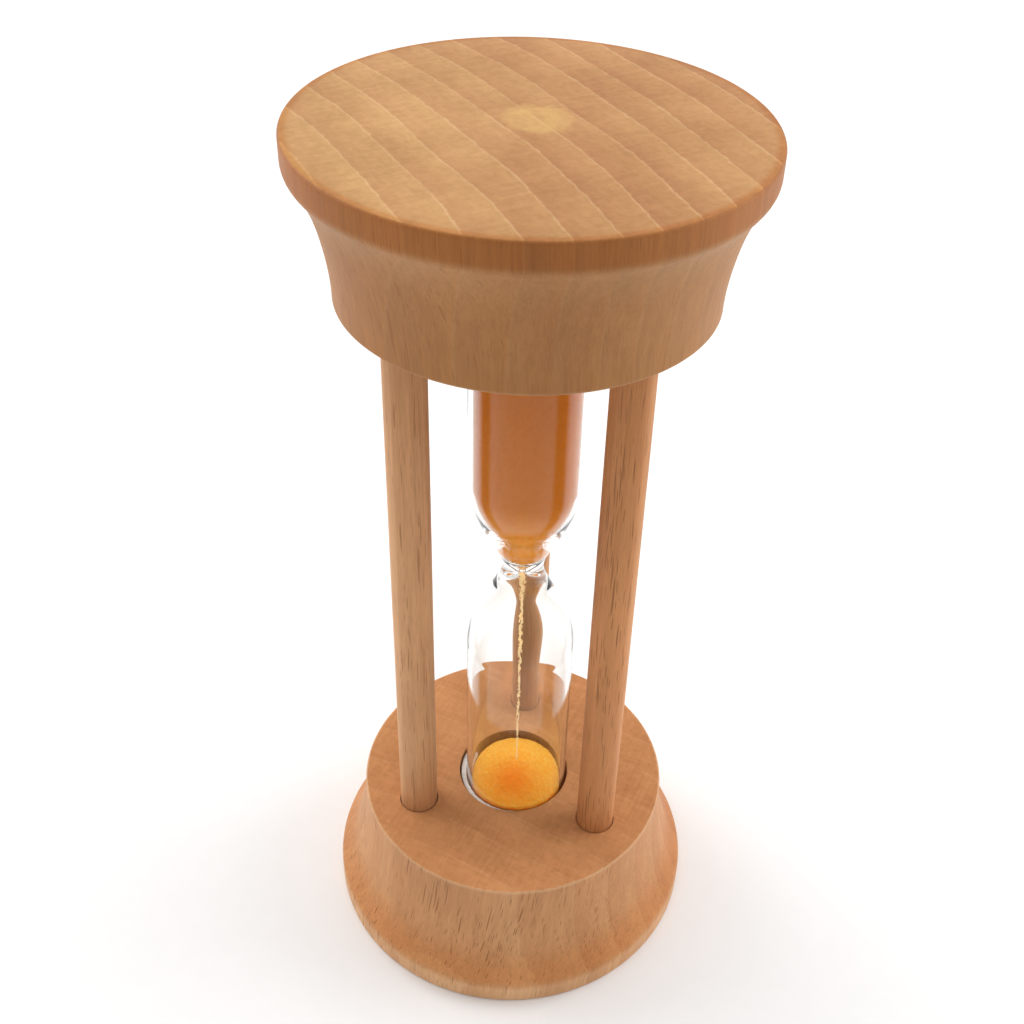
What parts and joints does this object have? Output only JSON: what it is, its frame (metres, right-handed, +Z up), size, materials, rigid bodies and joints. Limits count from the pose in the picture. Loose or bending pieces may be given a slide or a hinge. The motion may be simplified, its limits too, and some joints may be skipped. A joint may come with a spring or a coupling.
{
  "type": "hourglass",
  "caption": "Wooden sand timer: turned caps joined by dowels hold a sealed glass vial whose orange sand runs through a drawn neck.",
  "frame": {"origin": "centre of the base cap's outer face, where the timer stands", "axes": "+Z up along the timer, +Y towards the rear post, -Y between the two front posts"},
  "size_m": [0.047, 0.047, 0.108],
  "materials": {
    "base_wood": "bare sanded beech",
    "top_wood": "bare sanded beech, end grain on the flat face",
    "dowel_wood": "bare beech dowel with dark flecks",
    "glass": "clear blown glass",
    "foam": "white packing foam",
    "sand": "fine dyed sand"
  },
  "bodies": {
    "frame": {"base_cap": "base_wood", "top_cap": "top_wood", "post_front_left": "dowel_wood", "post_front_right": "dowel_wood", "post_rear": "dowel_wood", "glass_vial": "glass", "lower_foam_pad": "foam", "upper_foam_pad": "foam", "lower_foam_strip": "foam", "upper_foam_strip": "foam", "upper_sand": "sand", "lower_sand_bed": "sand", "sand_stream": "sand"},
    "upper_level": {"upper_sand_surface": "sand"},
    "lower_level": {"lower_sand_heap": "sand"}
  },
  "joints": [
    {"name": "upper_sand_fall", "type": "slide", "parent": "frame", "child": "upper_level", "axis": [0, 0, -1], "range_m": [-0.0022, 0.016], "deforming": ["upper_sand"]},
    {"name": "lower_sand_rise", "type": "slide", "parent": "frame", "child": "lower_level", "axis": [0, 0, 1], "range_m": [-0.0022, 0.016], "deforming": ["lower_sand_bed", "sand_stream"]}
  ],
  "couplings": [
    {"joint": "lower_sand_rise", "follows": "upper_sand_fall", "ratio": 1}
  ]
}
